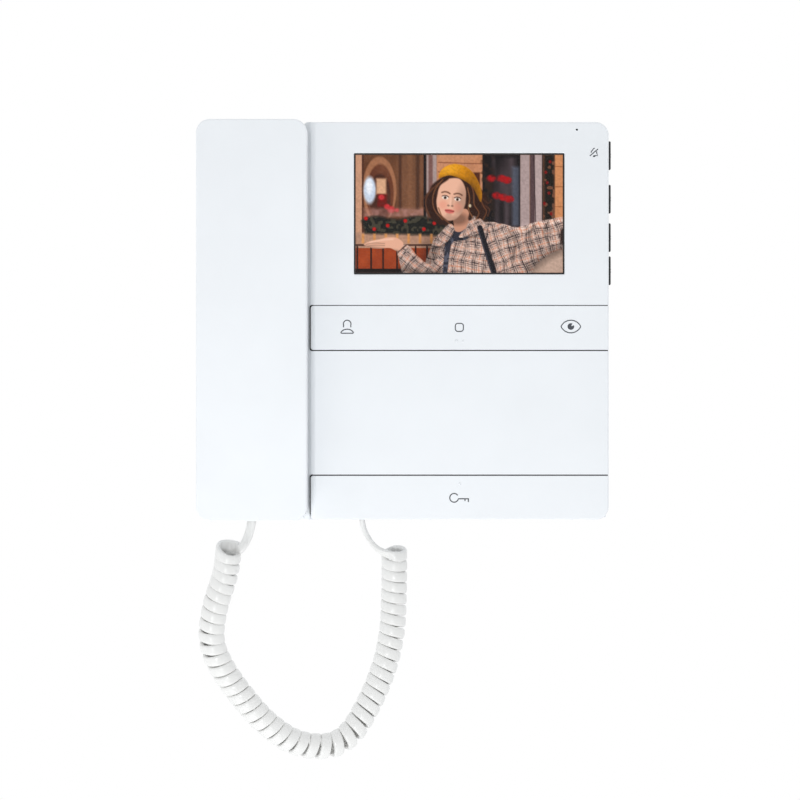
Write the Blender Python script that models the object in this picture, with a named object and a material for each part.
"""Video intercom monitor for a wall, with a corded handset.

Metres, +Z up, +X to the right as seen from the front. The wall is the plane y = 0 and the front faces -Y.
The origin is the centre of the wall bracket's rear face.
"""

import math

import bmesh
import bpy
from mathutils import Vector

MM = 0.001
GAP = 0.3 * MM  # kept between pieces that touch
WALL = 2.0 * MM  # plastic wall thickness

# Outer size of the unit, and of the handset that covers its left part.
BODY_WIDTH = 188.9 * MM
BODY_HEIGHT = 183.0 * MM
HANDSET_WIDTH = 50.5 * MM
HANDSET_SLIT = 1.25 * MM  # between the handset and the raised monitor
LEFT = -BODY_WIDTH / 2
RIGHT = BODY_WIDTH / 2
TOP = BODY_HEIGHT / 2
BOTTOM = -BODY_HEIGHT / 2
HANDSET_RIGHT = LEFT + HANDSET_WIDTH
HANDSET_MID_X = (LEFT + HANDSET_RIGHT) / 2
MONITOR_LEFT = HANDSET_RIGHT + HANDSET_SLIT
MONITOR_MID_X = 25.7 * MM
LEDGE_LEFT = MONITOR_LEFT - 3.1 * MM  # a low ledge of the front cover runs beside the raised monitor

# Depths, as y values from the wall out to the room.
RIM_Y = -0.4 * MM
PANEL_BACK_Y = -3.6 * MM
PANEL_FRONT_Y = -5.6 * MM
STEP_Y = -10.0 * MM  # where the rear cover ends under the cradle
SPLIT_Y = -16.0 * MM  # where the rear cover ends under the monitor
CRADLE_Y = -15.0 * MM
FACE_Y = -26.0 * MM
LEDGE_Y = -25.0 * MM
HANDSET_BACK_Y = -25.4 * MM
HANDSET_SPLIT_Y = -35.2 * MM
HANDSET_FRONT_Y = -44.0 * MM
POD_Y = CRADLE_Y - GAP
SEAT_DEPTH = 2.6 * MM
RING_Y = POD_Y + SEAT_DEPTH - GAP

# Corners and edges.
CORNER = 6.0 * MM
HANDSET_CORNER = 6.2 * MM
INNER_CORNER = 2.0 * MM  # the monitor's corners beside the handset
CHAMFER_WIDTH = 2.0 * MM  # slope from the step up to the monitor's face
CHAMFER_DEPTH = 0.4 * MM
STEP_ROUND = 0.12 * MM  # flat on the edge of the step between the ledge and the slope
FRONT_EDGE = 0.8 * MM
SHARP = 0.05 * MM
HANDSET_EDGE = 0.7 * MM
CORNER_STEPS = 5
LOOP_POINTS = 4 * (CORNER_STEPS + 1)

# Screen window, and the 4.3 inch panel behind it.
WINDOW = ((-22.8 * MM, 74.1 * MM), (21.4 * MM, 77.2 * MM))
LCD_SIZE = (105.5 * MM, 67.2 * MM)
LCD_MID = (25.65 * MM, 49.3 * MM)
LCD_Y = (-22.5 * MM, -19.7 * MM)

# Key bars. Each lies in a pocket of the front cover that is open to the right side.
FUNCTION_BAR_Z = (-13.35 * MM, 6.94 * MM)
FUNCTION_POCKET_Z = (-13.88 * MM, 7.31 * MM)
DOOR_BAR_TOP = -71.26 * MM
DOOR_POCKET_TOP = -70.7 * MM
POCKET_LEFT = MONITOR_LEFT - 0.45 * MM
BAR_BACK_Y = -22.2 * MM
BAR_FLOOR_Y = -24.2 * MM
POCKET_Y = -21.0 * MM
POCKET_BACK_Y = -19.5 * MM
FUNCTION_KEYS_X = (-25.9 * MM, 25.7 * MM, 77.0 * MM)
FUNCTION_KEYS_Z = -3.1 * MM
DOOR_KEY_Z = -81.2 * MM

# Side keys: name and height of the centre.
SIDE_KEYS = (
    ("ringtone_key", 76.45 * MM),
    ("volume_key", 56.35 * MM),
    ("brightness_key", 38.6 * MM),
    ("colour_key", 23.3 * MM),
)
SIDE_KEY_LENGTH = 13.2 * MM
SIDE_KEY_PROUD = 1.35 * MM
SIDE_KEY_Y = (-20.6 * MM, -17.6 * MM)

# Fasteners.
SCREW_HOLE_R = 1.8 * MM
COVER_SCREWS = (
    (-36.5 * MM, 86.0 * MM),
    (66.0 * MM, 86.0 * MM),
    (-36.5 * MM, -62.0 * MM),
    (84.0 * MM, -62.0 * MM),
)
BOSS_R = 2.8 * MM
HANDSET_SCREWS_Z = (34.0 * MM, -40.0 * MM)

SPEAKER = (50.0 * MM, -67.5 * MM)

# Wall bracket.
BRACKET_X = (-65.0 * MM, 65.0 * MM)
BRACKET_Z = (-46.0 * MM, 54.0 * MM)
BRACKET_Y = -1.5 * MM
CABLE_WINDOW = ((8.0 * MM, 50.0 * MM), (10.0 * MM, 46.0 * MM))
HOOK_WIDTH = 9.0 * MM
HOOKS = [(x, z) for x in (-57.5 * MM, 57.5 * MM) for z in (30.0 * MM, -34.0 * MM)]
WALL_SLOTS = (
    (-41.75 * MM, 0.0),
    (41.75 * MM, 0.0),
    (0.0, 30.0 * MM),
    (0.0, -30.0 * MM),
)
WALL_SLOT = (2.1 * MM, 4.5 * MM)  # half width and half length

# Handset pods and the seats that they rest in.
EAR_POD_Z = (42.0 * MM, 88.3 * MM)
EAR_RING = (67.0 * MM, 15.0 * MM)  # centre height and radius
MOUTH_POD_Z = (-88.3 * MM, -50.0 * MM)
MOUTH_RING = (-69.0 * MM, 12.0 * MM)
POD_SIDE = 2.3 * MM
POD_CORNER = 8.0 * MM
SEAT_CLEARANCE = 2.0 * MM
SEAT_LIFT = 1.7 * MM  # seat centre above the ring centre, room for lifting off upwards

# Hook plunger.
PLUNGER_Z = 45.8 * MM
PLUNGER_R = 2.6 * MM

# Handset and base sockets.
PLUG_HALF = (3.85 * MM, 2.6 * MM)
JACK_HALF = (5.5 * MM, 3.7 * MM)
JACK_LENGTH = 12.0 * MM
HANDSET_SOCKET = (-69.3 * MM, -31.4 * MM)
BASE_SOCKET = (-19.2 * MM, -11.6 * MM)

# Boards.
BOARD = 1.6 * MM
MAIN_BOARD_Y = -12.6 * MM
KEY_BOARD_Y = -15.6 * MM

# Curly cord: the coil's axis from the handset's end to the base's end, and the two flat leads.
COIL_DIAMETER = 12.0 * MM
LEAD_DIAMETER = 3.0 * MM
COIL_ROUTE = [
    (-80.0, -31.9, -104.1),
    (-81.6, -32.4, -115.8),
    (-86.1, -33.0, -130.7),
    (-87.9, -33.0, -144.7),
    (-84.8, -32.3, -155.8),
    (-76.6, -30.3, -168.9),
    (-63.9, -27.4, -184.0),
    (-50.0, -24.2, -193.8),
    (-35.2, -20.6, -196.0),
    (-25.0, -18.0, -190.8),
    (-16.7, -15.6, -178.2),
    (-9.3, -13.2, -161.1),
    (-5.4, -11.8, -144.1),
    (-4.4, -10.9, -125.9),
    (-4.2, -10.5, -105.3),
]
HANDSET_LEAD_ROUTE = [
    (-69.5, -31.4, -91.5),
    (-69.6, -31.4, -93.5),
    (-70.8, -31.4, -96.9),
    (-71.7, -31.5, -100.4),
    (-72.6, -31.6, -102.2),
]
BASE_LEAD_ROUTE = [
    (-19.2, -11.6, -91.5),
    (-19.1, -11.6, -93.5),
    (-18.1, -11.7, -96.8),
    (-15.3, -12.3, -101.8),
    (-12.6, -13.0, -103.9),
]

# Colours, roughness and metallic value.
WHITE = ((0.86, 0.87, 0.88), 0.45, 0.0)
CORD_WHITE = ((0.80, 0.80, 0.79), 0.5, 0.0)
BLACK = ((0.012, 0.012, 0.013), 0.4, 0.0)
RUBBER = ((0.03, 0.03, 0.03), 0.8, 0.0)
GREEN = ((0.02, 0.16, 0.07), 0.5, 0.0)
STEEL = ((0.55, 0.55, 0.56), 0.35, 1.0)
BRASS = ((0.70, 0.52, 0.25), 0.3, 1.0)
CLEAR = ((0.75, 0.78, 0.80), 0.05, 0.0)
SCREEN = ((0.05, 0.05, 0.06), 0.2, 0.0)


# ---------------------------------------------------------------- helpers


def rect(us, vs, radius=0.0, steps=CORNER_STEPS):
    """Loop of points round a rectangle. Radius is one value, or four anticlockwise from the upper right."""
    radii = radius if isinstance(radius, tuple) else (radius,) * 4
    if max(radii) == 0.0:
        return [(us[1], vs[1]), (us[0], vs[1]), (us[0], vs[0]), (us[1], vs[0])]
    points = []
    high, low = (us[1], vs[1]), (us[0], vs[0])
    corners = ((*high, -1, -1), (low[0], high[1], 1, -1), (*low, 1, 1), (high[0], low[1], -1, 1))
    for quarter, (u, v, to_u, to_v) in enumerate(corners):
        r = max(radii[quarter], 0.05 * MM)
        for step in range(steps + 1):
            angle = math.radians(90 * (quarter + step / steps))
            points.append((u + to_u * r + r * math.cos(angle), v + to_v * r + r * math.sin(angle)))
    return points


def disc(centre, radius, count=LOOP_POINTS):
    """Loop of points on a circle, which can follow a rounded rectangle of the same count."""
    angles = [2 * math.pi * (i + 0.5) / count for i in range(count)]
    return [(centre[0] + radius * math.cos(a), centre[1] + radius * math.sin(a)) for a in angles]


def stack(bm, axis, sections):
    """Adds a closed solid through flat sections, each a loop of (u, v) points and its level on the axis."""
    slot = "XYZ".index(axis)
    rings = []
    for loop, level in sections:
        points = [(*point[:slot], level, *point[slot:]) for point in loop]
        rings.append([bm.verts.new(point) for point in points])
    for ring, following in zip(rings, rings[1:]):
        for i, vertex in enumerate(ring):
            j = (i + 1) % len(ring)
            bm.faces.new((vertex, ring[j], following[j], following[i]))
    bm.faces.new(rings[0])
    bm.faces.new(rings[-1])


def box(bm, xs, ys, zs):
    stack(bm, "Y", [(rect(xs, zs), ys[0]), (rect(xs, zs), ys[1])])


def around(centre, half):
    return (centre - half, centre + half)


def rod(bm, axis, centre, radius, span, count=16):
    stack(bm, axis, [(disc(centre, radius, count), span[0]), (disc(centre, radius, count), span[1])])


def finish_mesh(name, bm):
    bmesh.ops.recalc_face_normals(bm, faces=bm.faces)
    mesh = bpy.data.meshes.new(name)
    bm.to_mesh(mesh)
    bm.free()
    return mesh


def link(obj):
    bpy.context.scene.collection.objects.link(obj)
    return obj


def material(name, finish):
    colour, roughness, metallic = finish
    result = bpy.data.materials.new(name + "_material")
    result.use_nodes = True
    result.diffuse_color = (*colour, 1.0)
    shader = result.node_tree.nodes["Principled BSDF"]
    shader.inputs["Base Color"].default_value = (*colour, 1.0)
    shader.inputs["Roughness"].default_value = roughness
    shader.inputs["Metallic"].default_value = metallic
    return result


def piece(name, bm, finish):
    """Makes one sub-part from a bmesh."""
    mesh = finish_mesh(name, bm)
    mesh.shade_smooth()
    mesh.set_sharp_from_angle(angle=math.radians(35))
    mesh.materials.append(material(name, finish))
    return link(bpy.data.objects.new(name, mesh))


def combine(target, bm, operation):
    """Cuts a bmesh from a sub-part, or joins it on, with a Boolean modifier."""
    name = f"{target.name}_{operation.lower()}_{len(target.modifiers)}"
    tool = link(bpy.data.objects.new(name, finish_mesh(name, bm)))
    tool.hide_render = True
    tool.display_type = "WIRE"
    tool.parent = target
    modifier = target.modifiers.new(name, "BOOLEAN")
    modifier.operation = operation
    modifier.solver = "EXACT"
    modifier.object = tool


def edge_inset(radius, depth):
    """How far a rounded edge has drawn in at a depth below the front face."""
    if depth >= radius:
        return 0.0
    return radius - math.sqrt(radius**2 - (radius - depth) ** 2)


def outline(xs, zs, corners, insets=(0.0, 0.0, 0.0, 0.0)):
    """Rounded outline drawn in from left, right, bottom and top by its insets."""
    left, right, low, high = insets
    pulls = (max(right, high), max(left, high), max(left, low), max(right, low))
    radii = tuple(max(corner - pull, 0.15 * MM) for corner, pull in zip(corners, pulls))
    return rect((xs[0] + left, xs[1] - right), (zs[0] + low, zs[1] - high), radii)


def rounded_front(xs, zs, corners, edges, front_y, side_y):
    """Sections from a body's side level to its front face, with one edge radius for each side."""
    direction = 1 if side_y > front_y else -1
    depth = abs(side_y - front_y)
    largest = max(edges)
    depths = [depth] + [largest * part for part in (1.0, 0.6, 0.35, 0.15, 0.04, 0.0)]
    sections = []
    for below in depths:
        insets = tuple(edge_inset(edge, below) for edge in edges)
        sections.append((outline(xs, zs, corners, insets), front_y + direction * below))
    return sections


def joint_axis(name, point, parent=None):
    """Empty that stands on a joint's axis and carries the pieces that move with it."""
    empty = link(bpy.data.objects.new(name, None))
    empty.empty_display_size = 5 * MM
    empty.location = Vector(point) - (parent.location if parent else Vector())
    empty.parent = parent
    return empty


def carry(empty, world_point, pieces):
    for moving in pieces:
        moving.parent = empty
        moving.location = -Vector(world_point)


def smooth_route(route, spacing):
    """Points at an even spacing on a smooth curve through a route's own points, given in millimetres."""
    points = [Vector(p) * MM for p in route]
    padded = [2 * points[0] - points[1]] + points + [2 * points[-1] - points[-2]]
    dense = []
    for a, b, c, d in zip(padded, padded[1:], padded[2:], padded[3:]):
        square, cube = 2 * a - 5 * b + 4 * c - d, 3 * b - a - 3 * c + d
        for step in range(20):
            t = step / 20
            dense.append(0.5 * (2 * b + (c - a) * t + square * t**2 + cube * t**3))
    dense.append(points[-1])
    lengths = [0.0]
    for a, b in zip(dense, dense[1:]):
        lengths.append(lengths[-1] + (b - a).length)
    count = max(2, round(lengths[-1] / spacing))
    result = [dense[0]]
    index = 0
    for step in range(1, count):
        target = lengths[-1] * step / count
        while lengths[index + 1] < target:
            index += 1
        share = (target - lengths[index]) / (lengths[index + 1] - lengths[index])
        result.append(dense[index].lerp(dense[index + 1], share))
    return result + [dense[-1]]


def tube(name, route, diameter, resolution, spacing, finish):
    """Plain tube along a route, as a bevelled curve with filled caps."""
    curve = bpy.data.curves.new(name, "CURVE")
    curve.dimensions = "3D"
    curve.bevel_depth = diameter / 2
    curve.bevel_resolution = resolution
    curve.use_fill_caps = True
    spline = curve.splines.new("POLY")
    points = smooth_route(route, spacing)
    spline.points.add(len(points) - 1)
    for target, source in zip(spline.points, points):
        target.co = (*source, 1.0)
    curve.materials.append(material(name, finish))
    return link(bpy.data.objects.new(name, curve))


# ---------------------------------------------------------------- wall side


def wall_bracket():
    """Steel plate with a cable window, wall screw slots and four hooks that the unit hangs on."""
    bm = bmesh.new()
    plate = rect(BRACKET_X, BRACKET_Z, 4 * MM)
    stack(bm, "Y", [(plate, 0.0), (plate, BRACKET_Y)])
    bracket = piece("wall_bracket", bm, STEEL)
    bm = bmesh.new()
    window = rect(*CABLE_WINDOW, 3 * MM)
    stack(bm, "Y", [(window, 1 * MM), (window, BRACKET_Y - 1 * MM)])
    for x, z in WALL_SLOTS:
        slot = rect(around(x, WALL_SLOT[0]), around(z, WALL_SLOT[1]), WALL_SLOT[0] * 0.999)
        stack(bm, "Y", [(slot, 1 * MM), (slot, BRACKET_Y - 1 * MM)])
    combine(bracket, bm, "DIFFERENCE")
    bm = bmesh.new()
    for x, z in HOOKS:
        # The hook in side view: a stem out of the plate, and a lip that points up behind the panel.
        side = [
            (BRACKET_Y + 0.5 * MM, z),
            (PANEL_FRONT_Y - 1.5 * MM, z),
            (PANEL_FRONT_Y - 1.5 * MM, z + 6.0 * MM),
            (PANEL_FRONT_Y - GAP, z + 6.0 * MM),
            (PANEL_FRONT_Y - GAP, z + 1.5 * MM),
            (BRACKET_Y + 0.5 * MM, z + 1.5 * MM),
        ]
        stack(bm, "X", [(side, x - HOOK_WIDTH / 2), (side, x + HOOK_WIDTH / 2)])
    combine(bracket, bm, "UNION")


def rear_cover():
    """Tray with a shallow recess for the bracket behind it. It is lower under the cradle."""
    bm = bmesh.new()
    xs = (LEFT, RIGHT)
    zs = (BOTTOM, TOP)
    corners = (CORNER, HANDSET_CORNER, HANDSET_CORNER, CORNER)
    recess = outline(xs, zs, corners, (2.2 * MM,) * 4)
    inside = outline(xs, zs, corners, (WALL,) * 4)
    chamfered = outline(xs, zs, corners, (0.6 * MM,) * 4)
    outside = outline(xs, zs, corners)
    stack(
        bm,
        "Y",
        [
            (recess, PANEL_BACK_Y),
            (recess, RIM_Y),
            (chamfered, RIM_Y),
            (outside, RIM_Y - 0.6 * MM),
            (outside, SPLIT_Y),
            (inside, SPLIT_Y),
            (inside, PANEL_FRONT_Y),
        ],
    )
    cover = piece("rear_cover", bm, WHITE)

    bm = bmesh.new()
    box(bm, (LEFT - 5 * MM, LEDGE_LEFT), (STEP_Y, SPLIT_Y - 2 * MM), (BOTTOM - 5 * MM, TOP + 5 * MM))
    combine(cover, bm, "DIFFERENCE")

    bm = bmesh.new()
    box(
        bm,
        (LEDGE_LEFT, LEDGE_LEFT + WALL),
        (PANEL_FRONT_Y + 1 * MM, SPLIT_Y),
        (BOTTOM + 1 * MM, TOP - 1 * MM),
    )
    combine(cover, bm, "UNION")

    bm = bmesh.new()
    through_y = (PANEL_FRONT_Y - 1 * MM, PANEL_BACK_Y + 1 * MM)
    for x, z in HOOKS:
        slot_z = (z - 5.2 * MM, z + 1.5 * MM + GAP)
        box(bm, around(x, HOOK_WIDTH / 2 + 1 * MM), through_y, slot_z)
    for centre in COVER_SCREWS:
        rod(bm, "Y", centre, SCREW_HOLE_R, through_y)
    box(bm, (17 * MM, 47 * MM), through_y, (19 * MM, 33 * MM))
    for row in range(7):
        z = SPEAKER[1] + (row - 3) * 4 * MM
        half = math.sqrt((14 * MM) ** 2 - ((row - 3) * 4 * MM) ** 2)
        box(bm, around(SPEAKER[0], half), through_y, around(z, 0.7 * MM))
    # Notch in the lower rim that lets the loudspeaker's sound out, and the mouth of the cord's socket.
    box(bm, around(SPEAKER[0], 15 * MM), (PANEL_BACK_Y, 1 * MM), (BOTTOM - 1 * MM, BOTTOM + 4 * MM))
    socket_mouth(bm, BASE_SOCKET)
    combine(cover, bm, "DIFFERENCE")


def loudspeaker():
    bm = bmesh.new()
    profile = ((17.0, -5.9), (17.0, -7.4), (14.0, -8.2), (9.0, -10.5), (8.0, -10.5), (8.0, -13.6))
    stack(bm, "Y", [(disc(SPEAKER, radius * MM, 32), y * MM) for radius, y in profile])
    piece("loudspeaker", bm, BLACK)


def cover_screws():
    for number, (x, z) in enumerate(COVER_SCREWS, 1):
        bm = bmesh.new()
        profile = ((1.6, -1.8), (2.7, -2.2), (2.7, -3.3), (1.5, -3.3), (1.5, -20.5), (0.6, -21.3))
        stack(bm, "Y", [(disc((x, z), radius * MM, 16), y * MM) for radius, y in profile])
        piece(f"cover_screw_{number}", bm, STEEL)


def terminal_block():
    """Screw terminal that reaches through the rear cover, with a wire mouth for each of its poles."""
    bm = bmesh.new()
    stack(
        bm,
        "Y",
        [
            (rect((18 * MM, 46 * MM), (20 * MM, 32 * MM)), MAIN_BOARD_Y + BOARD + GAP),
            (rect((18 * MM, 46 * MM), (20 * MM, 32 * MM)), -4.4 * MM),
            (rect((18 * MM, 46 * MM), (23 * MM, 32 * MM)), -2.4 * MM),
        ],
    )
    block = piece("terminal_block", bm, ((0.02, 0.20, 0.09), 0.5, 0.0))
    bm = bmesh.new()
    for pole in range(5):
        x = 22.0 * MM + pole * 5.08 * MM
        box(bm, around(x, 1.6 * MM), (-9.5 * MM, -6.3 * MM), (19 * MM, 27 * MM))
    combine(block, bm, "DIFFERENCE")


# ---------------------------------------------------------------- monitor


def front_cover():
    """Front of the monitor, with the screen window, the pockets of both key bars and the side key slots."""
    xs = (LEDGE_LEFT, RIGHT)
    zs = (BOTTOM, TOP)
    corners = (CORNER, INNER_CORNER, INNER_CORNER, CORNER)
    back_y = SPLIT_Y - GAP
    inside = outline(xs, zs, corners, (WALL,) * 4)
    edges = (SHARP, FRONT_EDGE, FRONT_EDGE, FRONT_EDGE)
    bm = bmesh.new()
    cup = [(inside, FACE_Y + 2.2 * MM), (inside, back_y)]
    stack(bm, "Y", cup + rounded_front(xs, zs, corners, edges, FACE_Y, back_y))
    cover = piece("front_cover", bm, WHITE)

    bm = bmesh.new()
    across = (LEDGE_LEFT + 1 * MM, RIGHT - 1 * MM)
    block_y = (FACE_Y + 1.6 * MM, POCKET_BACK_Y)
    box(bm, across, block_y, (FUNCTION_POCKET_Z[0] - WALL, FUNCTION_POCKET_Z[1] + WALL))
    box(bm, across, block_y, (BOTTOM + 1 * MM, DOOR_POCKET_TOP + WALL))
    for centre in COVER_SCREWS:
        rod(bm, "Y", centre, BOSS_R, (FACE_Y + 1.4 * MM, back_y))
    combine(cover, bm, "UNION")

    bm = bmesh.new()
    pocket_x = (POCKET_LEFT, RIGHT + 5 * MM)
    pocket_y = (FACE_Y - 1 * MM, POCKET_Y)
    box(bm, pocket_x, pocket_y, FUNCTION_POCKET_Z)
    box(bm, pocket_x, pocket_y, (BOTTOM - 5 * MM, DOOR_POCKET_TOP))
    window = rect(*WINDOW, 0.4 * MM, 2)
    stack(bm, "Y", [(window, FACE_Y - 1 * MM), (window, FACE_Y + 4 * MM)])
    rod(bm, "Y", (79.8 * MM, 88.0 * MM), 0.5 * MM, (FACE_Y - 1 * MM, FACE_Y + 4 * MM), 12)
    for _, z in SIDE_KEYS:
        slot_y = (SIDE_KEY_Y[0] - GAP, SIDE_KEY_Y[1] + GAP)
        box(bm, (RIGHT - 3 * MM, RIGHT + 1 * MM), slot_y, around(z, SIDE_KEY_LENGTH / 2 + GAP))
    for centre in COVER_SCREWS:
        rod(bm, "Y", centre, SCREW_HOLE_R, (FACE_Y + 4 * MM, back_y + 1 * MM))
    combine(cover, bm, "DIFFERENCE")

    bm = bmesh.new()
    for x in FUNCTION_KEYS_X:
        rod(bm, "Y", (x, FUNCTION_KEYS_Z), 2.4 * MM, (POCKET_Y - 1 * MM, POCKET_BACK_Y + 1 * MM))
    rod(bm, "Y", (MONITOR_MID_X, DOOR_KEY_Z), 2.4 * MM, (POCKET_Y - 1 * MM, POCKET_BACK_Y + 1 * MM))
    combine(cover, bm, "DIFFERENCE")
    combine(cover, chamfer_cutter(LEDGE_LEFT - 1 * MM), "DIFFERENCE")


def chamfer_cutter(ledge_left=None):
    """Prism along Z that slopes the monitor's left edge. With ledge_left it clears the ledge too."""
    over = 1 * MM
    front_y = FACE_Y - over
    run = CHAMFER_WIDTH - STEP_ROUND
    profile = [
        (MONITOR_LEFT + CHAMFER_WIDTH + over * run / CHAMFER_DEPTH, front_y),
        (MONITOR_LEFT + STEP_ROUND, FACE_Y + CHAMFER_DEPTH),
    ]
    step_y = FACE_Y + CHAMFER_DEPTH + STEP_ROUND
    if ledge_left is None:
        profile += [(MONITOR_LEFT - over, step_y + over), (MONITOR_LEFT - over, front_y)]
    else:
        profile += [(MONITOR_LEFT, step_y), (MONITOR_LEFT, LEDGE_Y), (ledge_left, LEDGE_Y), (ledge_left, front_y)]
    bm = bmesh.new()
    stack(bm, "Z", [(profile, BOTTOM - 5 * MM), (profile, TOP + 5 * MM)])
    return bm


def display_window():
    bm = bmesh.new()
    (x0, x1), (z0, z1) = WINDOW
    loop = rect((x0 + GAP, x1 - GAP), (z0 + GAP, z1 - GAP), 0.3 * MM, 2)
    stack(bm, "Y", [(loop, FACE_Y + 0.4 * MM), (loop, FACE_Y + 2.0 * MM)])
    piece("display_window", bm, CLEAR)


def display_gasket():
    bm = bmesh.new()
    ys = (FACE_Y + 2.5 * MM, LCD_Y[0] - GAP)
    box(bm, around(LCD_MID[0], 50.6 * MM), ys, around(LCD_MID[1], 30.6 * MM))
    gasket = piece("display_gasket", bm, RUBBER)
    bm = bmesh.new()
    box(bm, around(LCD_MID[0], 47.7 * MM), (ys[0] - 1 * MM, ys[1] + 1 * MM), around(LCD_MID[1], 27.1 * MM))
    combine(gasket, bm, "DIFFERENCE")


def lcd_panel():
    bm = bmesh.new()
    full = rect(around(LCD_MID[0], LCD_SIZE[0] / 2), around(LCD_MID[1], LCD_SIZE[1] / 2), 0.6 * MM, 2)
    glass = rect(around(LCD_MID[0], 50.5 * MM), around(LCD_MID[1], 31.0 * MM), 0.6 * MM, 2)
    front = LCD_Y[0]
    stack(bm, "Y", [(glass, front), (glass, front + 0.7 * MM), (full, front + 0.7 * MM), (full, LCD_Y[1])])
    piece("lcd_panel", bm, SCREEN)


def lcd_frame():
    """Sheet-metal back plate of the LCD panel, on four legs that stand on the main board."""
    bm = bmesh.new()
    ys = (LCD_Y[1] + GAP, LCD_Y[1] + GAP + 1 * MM)
    box(bm, around(LCD_MID[0], 53.6 * MM), ys, around(LCD_MID[1], 33.2 * MM))
    frame = piece("lcd_frame", bm, STEEL)
    bm = bmesh.new()
    for side in (-1, 1):
        for level in (-1, 1):
            centre = (LCD_MID[0] + side * 49 * MM, LCD_MID[1] + level * 28 * MM)
            rod(bm, "Y", centre, 2 * MM, (ys[1] - 0.5 * MM, MAIN_BOARD_Y - GAP), 10)
    combine(frame, bm, "UNION")
    bm = bmesh.new()
    for side in (-1, 1):
        window = rect(around(LCD_MID[0] + side * 24 * MM, 18 * MM), around(LCD_MID[1], 20 * MM), 3 * MM)
        stack(bm, "Y", [(window, ys[0] - 1 * MM), (window, ys[1] + 1 * MM)])
    combine(frame, bm, "DIFFERENCE")


def boards():
    plates = (
        ("main_board", (-38 * MM, 84 * MM), MAIN_BOARD_Y, (-12 * MM, 84 * MM)),
        ("function_key_board", (-36 * MM, 87 * MM), KEY_BOARD_Y, (-11 * MM, 5 * MM)),
        ("door_key_board", (-8 * MM, 60 * MM), KEY_BOARD_Y, (-88 * MM, -74 * MM)),
        ("handset_board", (-83.5 * MM, -55.0 * MM), -31.0 * MM, (-76 * MM, -47 * MM)),
    )
    for name, xs, front_y, zs in plates:
        loop = rect(xs, zs, 1.5 * MM, 3)
        bm = bmesh.new()
        stack(bm, "Y", [(loop, front_y), (loop, front_y + BOARD)])
        piece(name, bm, GREEN)
    bm = bmesh.new()
    box(bm, (85.4 * MM, 87.0 * MM), (-20.8 * MM, -13.0 * MM), (15.0 * MM, 84.0 * MM))
    piece("side_key_board", bm, GREEN)


def flat_flex_cable():
    """Ribbon from the LCD's lower edge, folded back behind the panel onto the main board."""
    half = 0.15 * MM
    line = [(-20.8, 15.2), (-20.8, 13.6), (-19.9, 12.5), (-14.3, 12.5), (-13.1, 13.8), (-13.1, 26.0)]
    points = [Vector(p) * MM for p in line]
    sides = ([], [])
    for i, point in enumerate(points):
        before = (point - points[max(i - 1, 0)]).normalized()
        after = (points[min(i + 1, len(points) - 1)] - point).normalized()
        along = (before + after).normalized()
        across = Vector((-along.y, along.x)) * half
        sides[0].append(tuple(point + across))
        sides[1].append(tuple(point - across))
    loop = sides[0] + sides[1][::-1]
    bm = bmesh.new()
    stack(bm, "X", [(loop, 12 * MM), (loop, 32.5 * MM)])
    piece("flat_flex_cable", bm, ((0.75, 0.45, 0.12), 0.4, 0.0))


def tact_switch(name, axis, centre, base, body, tip):
    """Square switch body with a round plunger, along Y or X."""
    square = rect(around(centre[0], 3 * MM if axis == "Y" else 1.5 * MM), around(centre[1], 3 * MM), 0.3 * MM)
    round_tip = disc(centre, 1.7 * MM if axis == "Y" else 1.1 * MM)
    bm = bmesh.new()
    stack(bm, axis, [(square, base), (square, body), (round_tip, body), (round_tip, tip)])
    piece(name, bm, BLACK)


def switches():
    levels = (KEY_BOARD_Y - GAP, POCKET_BACK_Y + GAP, -21.2 * MM)
    for number, x in enumerate(FUNCTION_KEYS_X, 1):
        tact_switch(f"function_switch_{number}", "Y", (x, FUNCTION_KEYS_Z), *levels)
    tact_switch("door_switch", "Y", (MONITOR_MID_X, DOOR_KEY_Z), *levels)
    middle_y = sum(SIDE_KEY_Y) / 2
    for number, (_, z) in enumerate(SIDE_KEYS, 1):
        tact_switch(f"side_switch_{number}", "X", (middle_y, z), 87.3 * MM, 89.1 * MM, 89.8 * MM)


def small_base_parts():
    bm = bmesh.new()
    box(bm, (85.9 * MM, 89.3 * MM), (FACE_Y + 2.5 * MM, -21.1 * MM), (75.8 * MM, 79.2 * MM))
    piece("mute_light_guide", bm, CLEAR)
    bm = bmesh.new()
    box(bm, (77.9 * MM, 81.7 * MM), (FACE_Y + 2.5 * MM, FACE_Y + 3.6 * MM), (86.2 * MM, 89.1 * MM))
    piece("microphone", bm, BRASS)
    bm = bmesh.new()
    box(bm, around(HANDSET_MID_X, 4 * MM), (-9.6 * MM, PANEL_FRONT_Y - GAP), around(PLUNGER_Z, 3.2 * MM))
    piece("hook_switch", bm, BLACK)


# ---------------------------------------------------------------- keys


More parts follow.
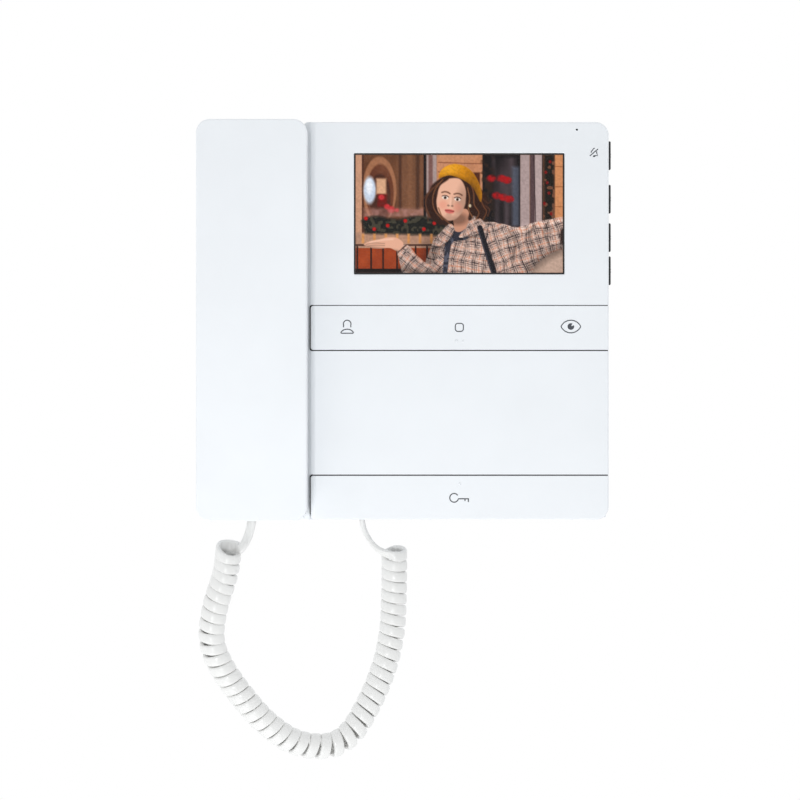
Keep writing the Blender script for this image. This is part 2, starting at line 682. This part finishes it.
def function_bar():
    """Key bar with its rocker plate. The bar wraps round the right side of the monitor."""
    bm = bmesh.new()
    profile = rect((MONITOR_LEFT, RIGHT), (FACE_Y, BAR_BACK_Y), (SHARP, SHARP, SHARP, FRONT_EDGE))
    low, high = FUNCTION_BAR_Z
    stack(bm, "Z", [(profile, low), (profile, high)])
    bar = piece("function_bar", bm, WHITE)
    combine(bar, chamfer_cutter(), "DIFFERENCE")
    bm = bmesh.new()
    inner_x = (MONITOR_LEFT + 2.2 * MM, RIGHT - WALL)
    box(bm, inner_x, (BAR_FLOOR_Y, BAR_BACK_Y + 1 * MM), (low + 1.5 * MM, high - 1.5 * MM))
    combine(bar, bm, "DIFFERENCE")

    middle_z = (low + high) / 2
    bm = bmesh.new()
    plate_y = (BAR_FLOOR_Y + 1.3 * MM, BAR_FLOOR_Y + 2.3 * MM)
    plate = rect((-35 * MM, 87 * MM), around(middle_z, 7.5 * MM), 2 * MM)
    stack(bm, "Y", [(plate, plate_y[0]), (plate, plate_y[1])])
    carrier = piece("rocker_plate", bm, STEEL)
    bm = bmesh.new()
    ridge = [
        (MONITOR_MID_X - 1.5 * MM, plate_y[0] + 0.4 * MM),
        (MONITOR_MID_X + 1.5 * MM, plate_y[0] + 0.4 * MM),
        (MONITOR_MID_X + 0.3 * MM, BAR_FLOOR_Y + GAP),
        (MONITOR_MID_X - 0.3 * MM, BAR_FLOOR_Y + GAP),
    ]
    stack(bm, "Z", [(ridge, middle_z - 6 * MM), (ridge, middle_z + 6 * MM)])
    combine(carrier, bm, "UNION")

    pivot = (MONITOR_MID_X, BAR_FLOOR_Y + GAP, middle_z)
    press = joint_axis("function_bar_press_axis", pivot)
    rock = joint_axis("function_bar_rock_axis", pivot, press)
    carry(press, pivot, [carrier])
    carry(rock, pivot, [bar])


def door_bar():
    """Key bar along the bottom edge, with the post that works the door switch."""
    xs = (MONITOR_LEFT, RIGHT)
    zs = (BOTTOM, DOOR_BAR_TOP)
    corners = (0.15 * MM, 0.15 * MM, 0.5 * MM, CORNER)
    edges = (SHARP, FRONT_EDGE, FRONT_EDGE, SHARP)
    bm = bmesh.new()
    stack(bm, "Y", rounded_front(xs, zs, corners, edges, FACE_Y, BAR_BACK_Y))
    bar = piece("door_bar", bm, WHITE)
    combine(bar, chamfer_cutter(), "DIFFERENCE")
    bm = bmesh.new()
    hollow = outline(xs, zs, corners, (2.2 * MM, WALL, WALL, 1.5 * MM))
    stack(bm, "Y", [(hollow, BAR_FLOOR_Y), (hollow, BAR_BACK_Y + 1 * MM)])
    combine(bar, bm, "DIFFERENCE")
    bm = bmesh.new()
    rod(bm, "Y", (MONITOR_MID_X, DOOR_KEY_Z), 2.5 * MM, (BAR_FLOOR_Y - 0.5 * MM, -22.0 * MM))
    combine(bar, bm, "UNION")
    pivot = (MONITOR_MID_X, BAR_BACK_Y, DOOR_KEY_Z)
    carry(joint_axis("door_bar_press_axis", pivot), pivot, [bar])


def side_keys():
    middle_y = sum(SIDE_KEY_Y) / 2
    half = SIDE_KEY_LENGTH / 2
    proud = RIGHT + SIDE_KEY_PROUD
    for name, z in SIDE_KEYS:
        stem = rect(SIDE_KEY_Y, around(z, half), 0.5 * MM)
        tip = rect(around(middle_y, 1.1 * MM), around(z, half - 0.6 * MM), 0.3 * MM)
        flange = rect(around(middle_y, 2.2 * MM), around(z, half + 0.9 * MM), 0.5 * MM)
        bm = bmesh.new()
        stack(
            bm,
            "X",
            [
                (flange, 90.6 * MM),
                (flange, 91.6 * MM),
                (stem, 91.6 * MM),
                (stem, proud - 0.4 * MM),
                (tip, proud),
            ],
        )
        key = piece(name, bm, BLACK)
        pivot = (90.6 * MM, middle_y, z)
        carry(joint_axis(f"{name}_press_axis", pivot), pivot, [key])


def hook_plunger():
    bm = bmesh.new()
    centre = (HANDSET_MID_X, PLUNGER_Z)
    profile = ((4.0, -9.9), (4.0, -10.9), (2.6, -10.9), (2.6, -14.6), (2.2, -15.0))
    stack(bm, "Y", [(disc(centre, radius * MM, 20), y * MM) for radius, y in profile])
    plunger = piece("hook_plunger", bm, WHITE)
    pivot = (centre[0], -9.9 * MM, centre[1])
    carry(joint_axis("hook_plunger_axis", pivot), pivot, [plunger])


# ---------------------------------------------------------------- handset and its cradle


def seat(ring):
    """Centre and radius of the round seat in the cradle that holds a handset ring."""
    return (HANDSET_MID_X, ring[0] + SEAT_LIFT), ring[1] + SEAT_CLEARANCE


def handset_cradle():
    xs = (LEFT, LEDGE_LEFT - GAP)
    zs = (BOTTOM, TOP)
    corners = (0.5 * MM, HANDSET_CORNER, HANDSET_CORNER, 0.5 * MM)
    edges = (1 * MM, SHARP, 1 * MM, 1 * MM)
    inside = outline(xs, zs, corners, (WALL,) * 4)
    back_y = STEP_Y - GAP
    bm = bmesh.new()
    cup = [(inside, CRADLE_Y + 1.8 * MM), (inside, back_y)]
    stack(bm, "Y", cup + rounded_front(xs, zs, corners, edges, CRADLE_Y, back_y))
    cradle = piece("handset_cradle", bm, WHITE)

    floor_y = CRADLE_Y + SEAT_DEPTH
    bm = bmesh.new()
    for ring in (EAR_RING, MOUTH_RING):
        centre, radius = seat(ring)
        rod(bm, "Y", centre, radius + 1.5 * MM, (CRADLE_Y + 1 * MM, floor_y + 1.4 * MM), 40)
    combine(cradle, bm, "UNION")
    bm = bmesh.new()
    for ring in (EAR_RING, MOUTH_RING):
        centre, radius = seat(ring)
        stack(
            bm,
            "Y",
            [
                (disc(centre, radius + 0.8 * MM, 40), CRADLE_Y - 0.8 * MM),
                (disc(centre, radius, 40), CRADLE_Y + 0.8 * MM),
                (disc(centre, radius, 40), floor_y),
            ],
        )
    rod(bm, "Y", (HANDSET_MID_X, PLUNGER_Z), PLUNGER_R + GAP, (CRADLE_Y - 1 * MM, CRADLE_Y + 3 * MM), 20)
    combine(cradle, bm, "DIFFERENCE")


def handset_front_shell():
    xs = (LEFT, HANDSET_RIGHT)
    zs = (BOTTOM, TOP)
    corners = (HANDSET_CORNER,) * 4
    edges = (HANDSET_EDGE,) * 4
    back_y = HANDSET_SPLIT_Y - GAP / 2
    inside = outline(xs, zs, corners, (WALL,) * 4)
    bm = bmesh.new()
    cup = [(inside, HANDSET_FRONT_Y + WALL), (inside, back_y)]
    stack(bm, "Y", cup + rounded_front(xs, zs, corners, edges, HANDSET_FRONT_Y, back_y))
    shell = piece("handset_front_shell", bm, WHITE)
    bm = bmesh.new()
    for z in HANDSET_SCREWS_Z:
        rod(bm, "Y", (HANDSET_MID_X, z), 3.2 * MM, (HANDSET_FRONT_Y + 1.4 * MM, back_y))
    combine(shell, bm, "UNION")
    bm = bmesh.new()
    for z in HANDSET_SCREWS_Z:
        rod(bm, "Y", (HANDSET_MID_X, z), SCREW_HOLE_R, (HANDSET_FRONT_Y + 4 * MM, back_y + 1 * MM))
    combine(shell, bm, "DIFFERENCE")
    return shell


def handset_rear_shell():
    """Rear half of the handset: a slim grip between two pods, each with a round ring that holds a capsule."""
    xs = (LEFT, HANDSET_RIGHT)
    zs = (BOTTOM, TOP)
    corners = (HANDSET_CORNER,) * 4
    front_y = HANDSET_SPLIT_Y + GAP / 2
    bm = bmesh.new()
    sections = rounded_front(xs, zs, corners, (3 * MM,) * 4, HANDSET_BACK_Y, front_y)
    stack(bm, "Y", sections)
    shell = piece("handset_rear_shell", bm, WHITE)

    pod_x = (LEFT + POD_SIDE, HANDSET_RIGHT - POD_SIDE)
    pods = ((EAR_POD_Z, EAR_RING), (MOUTH_POD_Z, MOUTH_RING))
    bm = bmesh.new()
    for pod_z, (ring_z, ring_r) in pods:
        round_corners = (POD_CORNER,) * 4
        start_y = HANDSET_BACK_Y - 1 * MM
        sections = rounded_front(pod_x, pod_z, round_corners, (2 * MM,) * 4, POD_Y, start_y)
        ring = disc((HANDSET_MID_X, ring_z), ring_r)
        tip = disc((HANDSET_MID_X, ring_z), ring_r - 0.6 * MM)
        stack(bm, "Y", sections + [(ring, POD_Y), (ring, RING_Y - 0.6 * MM), (tip, RING_Y)])
    combine(shell, bm, "UNION")

    bm = bmesh.new()
    inside = outline(xs, zs, corners, (WALL,) * 4)
    stack(bm, "Y", [(inside, front_y - 1 * MM), (inside, HANDSET_BACK_Y - WALL)])
    combine(shell, bm, "DIFFERENCE")
    for pod_z, (ring_z, ring_r) in pods:
        hollow = outline(pod_x, pod_z, (POD_CORNER,) * 4, (WALL,) * 4)
        ring = disc((HANDSET_MID_X, ring_z), ring_r - WALL)
        floor_y = POD_Y - WALL
        bm = bmesh.new()
        stack(
            bm,
            "Y",
            [
                (hollow, HANDSET_BACK_Y - 3 * MM),
                (hollow, floor_y),
                (ring, floor_y),
                (ring, RING_Y - 1.6 * MM),
            ],
        )
        combine(shell, bm, "DIFFERENCE")

    bm = bmesh.new()
    for z in HANDSET_SCREWS_Z:
        rod(bm, "Y", (HANDSET_MID_X, z), 4.6 * MM, (HANDSET_BACK_Y - 1 * MM, HANDSET_BACK_Y - 6 * MM))
    combine(shell, bm, "UNION")
    bm = bmesh.new()
    for z in HANDSET_SCREWS_Z:
        hole = disc((HANDSET_MID_X, z), SCREW_HOLE_R, 16)
        head = disc((HANDSET_MID_X, z), 3.1 * MM, 16)
        levels = (HANDSET_BACK_Y - 7 * MM, HANDSET_BACK_Y - 2.2 * MM, HANDSET_BACK_Y + 1 * MM)
        stack(bm, "Y", [(hole, levels[0]), (hole, levels[1]), (head, levels[1]), (head, levels[2])])
    holes = [(dx, EAR_RING[0] + dz) for dx, dz in sound_holes(3.6 * MM, 6)]
    holes += [(dx, MOUTH_RING[0] + dz) for dx, dz in sound_holes(2.6 * MM, 3)]
    for dx, z in holes:
        rod(bm, "Y", (HANDSET_MID_X + dx, z), 0.9 * MM, (RING_Y - 4 * MM, RING_Y + 1 * MM), 8)
    socket_mouth(bm, HANDSET_SOCKET)
    combine(shell, bm, "DIFFERENCE")
    return shell


def sound_holes(radius, count):
    """Offsets of one hole in the middle and a ring of holes round it."""
    angles = [2 * math.pi * i / count for i in range(count)]
    return [(0.0, 0.0)] + [(radius * math.cos(a), radius * math.sin(a)) for a in angles]


def handset_screws():
    screws = []
    for number, z in enumerate(HANDSET_SCREWS_Z, 1):
        centre = (HANDSET_MID_X, z)
        profile = ((1.6, -25.7), (2.7, -26.1), (2.7, -27.2), (1.5, -27.2), (1.5, -38.7), (0.6, -39.5))
        bm = bmesh.new()
        stack(bm, "Y", [(disc(centre, radius * MM, 16), y * MM) for radius, y in profile])
        screws.append(piece(f"handset_screw_{number}", bm, STEEL))
    return screws


def capsules():
    """Earpiece, mouthpiece and the rubber boot round the mouthpiece."""
    bm = bmesh.new()
    ear = (HANDSET_MID_X, EAR_RING[0])
    profile = ((12.6, -14.9), (12.6, -17.5), (14.5, -17.9), (14.5, -19.6), (8.0, -20.4), (8.0, -23.5))
    stack(bm, "Y", [(disc(ear, radius * MM, 32), y * MM) for radius, y in profile])
    earpiece = piece("earpiece_capsule", bm, BLACK)

    mouth = (HANDSET_MID_X, MOUTH_RING[0])
    bm = bmesh.new()
    rod(bm, "Y", mouth, 9.6 * MM, (-14.9 * MM, -21.0 * MM), 28)
    boot = piece("mouthpiece_boot", bm, RUBBER)
    bm = bmesh.new()
    rod(bm, "Y", mouth, 5.1 * MM, (-14.0 * MM, -22.0 * MM), 28)
    combine(boot, bm, "DIFFERENCE")

    bm = bmesh.new()
    rod(bm, "Y", mouth, 4.8 * MM, (-15.3 * MM, -21.5 * MM), 28)
    return [earpiece, boot, piece("mouthpiece_capsule", bm, STEEL)]


def ballast_weight():
    bm = bmesh.new()
    loop = rect(around(HANDSET_MID_X, 14 * MM), (-33 * MM, 27 * MM), 2 * MM)
    stack(bm, "Y", [(loop, -32.0 * MM), (loop, -28.0 * MM)])
    return piece("ballast_weight", bm, STEEL)


# ---------------------------------------------------------------- sockets and cord


def socket_mouth(bm, socket):
    """Cutter for a socket's mouth through a bottom wall."""
    x, y = socket
    mouth_z = (BOTTOM - 1 * MM, BOTTOM + WALL + 1 * MM)
    box(bm, around(x, PLUG_HALF[0] + GAP), around(y, PLUG_HALF[1] + GAP), mouth_z)


def socket(prefix, centre):
    """Jack behind the bottom wall, and the plug in it."""
    x, y = centre
    low = BOTTOM + WALL + GAP
    bm = bmesh.new()
    box(bm, around(x, JACK_HALF[0]), around(y, JACK_HALF[1]), (low, low + JACK_LENGTH))
    jack = piece(f"{prefix}_jack", bm, BLACK)
    bm = bmesh.new()
    mouth_z = (low - 1 * MM, low + JACK_LENGTH - 1.4 * MM)
    box(bm, around(x, PLUG_HALF[0] + GAP), around(y, PLUG_HALF[1] + GAP), mouth_z)
    combine(jack, bm, "DIFFERENCE")
    bm = bmesh.new()
    box(bm, around(x, PLUG_HALF[0]), around(y, PLUG_HALF[1]), (BOTTOM + GAP, BOTTOM + JACK_LENGTH))
    return jack, piece(f"{prefix}_plug", bm, CLEAR)


def cord():
    tube("curly_cord", COIL_ROUTE, COIL_DIAMETER, 3, 0.75 * COIL_DIAMETER, CORD_WHITE)
    tube("base_lead", BASE_LEAD_ROUTE, LEAD_DIAMETER, 2, LEAD_DIAMETER, CORD_WHITE)
    return tube("handset_lead", HANDSET_LEAD_ROUTE, LEAD_DIAMETER, 2, LEAD_DIAMETER, CORD_WHITE)


def handset():
    jack, plug = socket("handset", HANDSET_SOCKET)
    moving = [handset_front_shell(), handset_rear_shell(), ballast_weight(), jack, plug, cord()]
    moving += handset_screws() + capsules() + [bpy.data.objects["handset_board"]]
    pivot = (HANDSET_MID_X, CRADLE_Y, 0.0)
    carry(joint_axis("handset_lift_axis", pivot), pivot, moving)


def main():
    for obj in list(bpy.data.objects):
        bpy.data.objects.remove(obj)
    wall_bracket()
    rear_cover()
    loudspeaker()
    cover_screws()
    terminal_block()
    socket("base", BASE_SOCKET)
    front_cover()
    display_window()
    display_gasket()
    lcd_panel()
    lcd_frame()
    boards()
    flat_flex_cable()
    switches()
    small_base_parts()
    function_bar()
    door_bar()
    side_keys()
    hook_plunger()
    handset_cradle()
    handset()


main()
